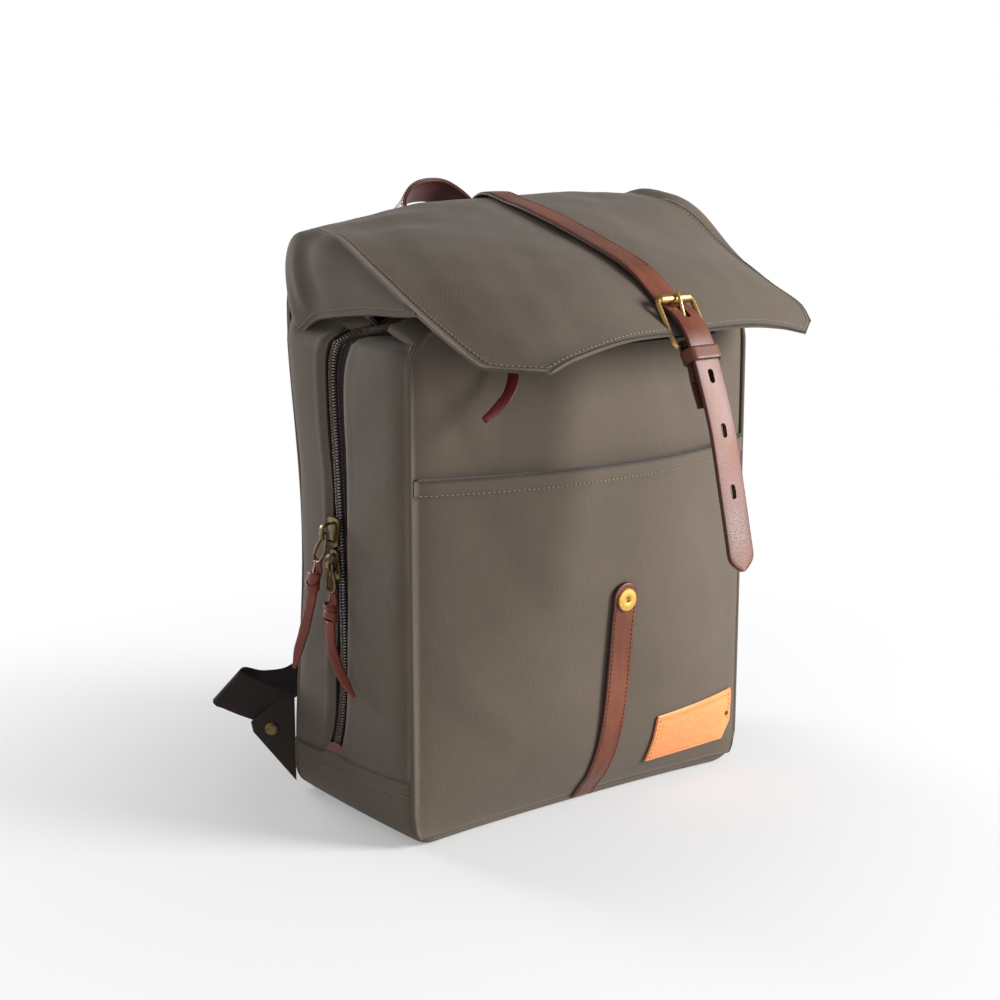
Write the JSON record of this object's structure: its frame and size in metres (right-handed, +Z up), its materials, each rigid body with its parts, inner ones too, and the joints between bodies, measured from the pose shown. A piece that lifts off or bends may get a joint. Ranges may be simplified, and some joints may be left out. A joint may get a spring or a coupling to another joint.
{
  "type": "travel backpack",
  "caption": "Canvas travel backpack with a hood-shaped flap held by one buckled leather strap, side zip, slip pocket and padded shoulder straps.",
  "frame": {"origin": "centre of the base, on the surface the bag stands on", "axes": "+Z up, the front with its pocket and buckle faces -Y, +X to the right seen from the front"},
  "size_m": [0.4048, 0.3617, 0.437],
  "materials": {
    "canvas": "tightly woven grey-brown cotton canvas, matt, topstitched",
    "padded_canvas": "grey-brown canvas over foam, matt",
    "webbing": "dark brown woven webbing",
    "zip_tape": "dark brown zip tape",
    "zip_coil": "dark brown moulded coil with a soft sheen",
    "plastic": "dark brown moulded plastic",
    "brown_leather": "oiled red-brown leather with burnished edges",
    "natural_leather": "natural undyed leather",
    "antique_brass": "antique brass, brushed by wear on its high spots"
  },
  "bodies": {
    "pack": {"back_pad": "padded_canvas", "back_panel": "padded_canvas", "base_panel": "canvas", "base_stiffener": "plastic", "front_panel": "canvas", "front_pocket": "canvas", "front_zip_tape": "zip_tape", "handle_patch": "brown_leather", "hood_rear": "canvas", "laptop_divider": "padded_canvas", "leather_label": "natural_leather", "leather_strip": "brown_leather", "lower_tab_left": "canvas", "lower_tab_right": "canvas", "main_zip_coil": "zip_coil", "main_zip_tape": "zip_tape", "ring_stud": "antique_brass", "rivet_left": "antique_brass", "rivet_right": "antique_brass", "side_front_left": "canvas", "side_front_right": "canvas", "side_rear_left": "canvas", "side_rear_right": "canvas", "strap_yoke": "brown_leather", "top_front": "canvas", "top_rear": "canvas", "zip_end_tab_left": "brown_leather", "zip_end_tab_right": "brown_leather"},
    "flap": {"flap_top": "canvas", "flap_wing_left": "canvas", "flap_wing_right": "canvas", "billet_strap": "brown_leather", "strap_keeper": "brown_leather", "buckle_frame": "antique_brass", "chape": "brown_leather", "snap_cap": "antique_brass"},
    "prong": {"buckle_prong": "antique_brass"},
    "roller": {"buckle_roller": "antique_brass"},
    "handle": {"handle": "brown_leather"},
    "strap_left": {"shoulder_strap_left": "padded_canvas", "ladder_lock_left": "plastic", "webbing_left": "webbing"},
    "strap_right": {"shoulder_strap_right": "padded_canvas", "ladder_lock_right": "plastic", "webbing_right": "webbing"},
    "slider_upper": {"zip_slider_upper": "antique_brass"},
    "pull_upper": {"zip_pull_upper": "antique_brass", "lace_knot_upper": "brown_leather", "lace_upper": "brown_leather"},
    "slider_lower": {"zip_slider_lower": "antique_brass"},
    "pull_lower": {"zip_pull_lower": "antique_brass", "lace_knot_lower": "brown_leather", "lace_lower": "brown_leather"},
    "front_slider": {"front_zip_slider": "antique_brass", "front_lace": "brown_leather"}
  },
  "joints": [
    {"name": "flap_hinge", "type": "hinge", "parent": "pack", "child": "flap", "pos_m": [0, 0.046, 0.4246], "axis": [-1, 0, 0], "range_deg": [0, 140]},
    {"name": "prong_pivot", "type": "hinge", "parent": "flap", "child": "prong", "pos_m": [0.0026, -0.172, 0.338], "axis": [1, 0, 0], "range_deg": [0, 25]},
    {"name": "roller_spin", "type": "hinge", "parent": "flap", "child": "roller", "pos_m": [0.0026, -0.153, 0.3665], "axis": [1, 0, 0], "continuous": true},
    {"name": "handle_fold", "type": "hinge", "parent": "pack", "child": "handle", "pos_m": [0, 0.1112, 0.3958], "axis": [-1, 0, 0], "range_deg": [0, 70]},
    {"name": "strap_left_swing", "type": "hinge", "parent": "pack", "child": "strap_left", "pos_m": [0, 0.0936, 0.3745], "axis": [1, 0, 0], "range_deg": [0, 12]},
    {"name": "strap_right_swing", "type": "hinge", "parent": "pack", "child": "strap_right", "pos_m": [0, 0.0936, 0.3745], "axis": [1, 0, 0], "range_deg": [0, 12]},
    {"name": "slider_upper_run", "type": "slide", "parent": "pack", "child": "slider_upper", "axis": [0, 0, 1], "range_m": [0, 0.085]},
    {"name": "pull_upper_swing", "type": "hinge", "parent": "slider_upper", "child": "pull_upper", "pos_m": [-0.1616, 0.014, 0.203], "axis": [0, 1, 0], "range_deg": [0, 150]},
    {"name": "slider_lower_run", "type": "slide", "parent": "pack", "child": "slider_lower", "axis": [0, 0, -1], "range_m": [0, 0.085]},
    {"name": "pull_lower_swing", "type": "hinge", "parent": "slider_lower", "child": "pull_lower", "pos_m": [-0.1574, 0.014, 0.181], "axis": [0, 1, 0], "range_deg": [0, 60]},
    {"name": "front_slider_run", "type": "slide", "parent": "pack", "child": "front_slider", "axis": [1, 0, 0], "range_m": [0, 0.17]}
  ]
}
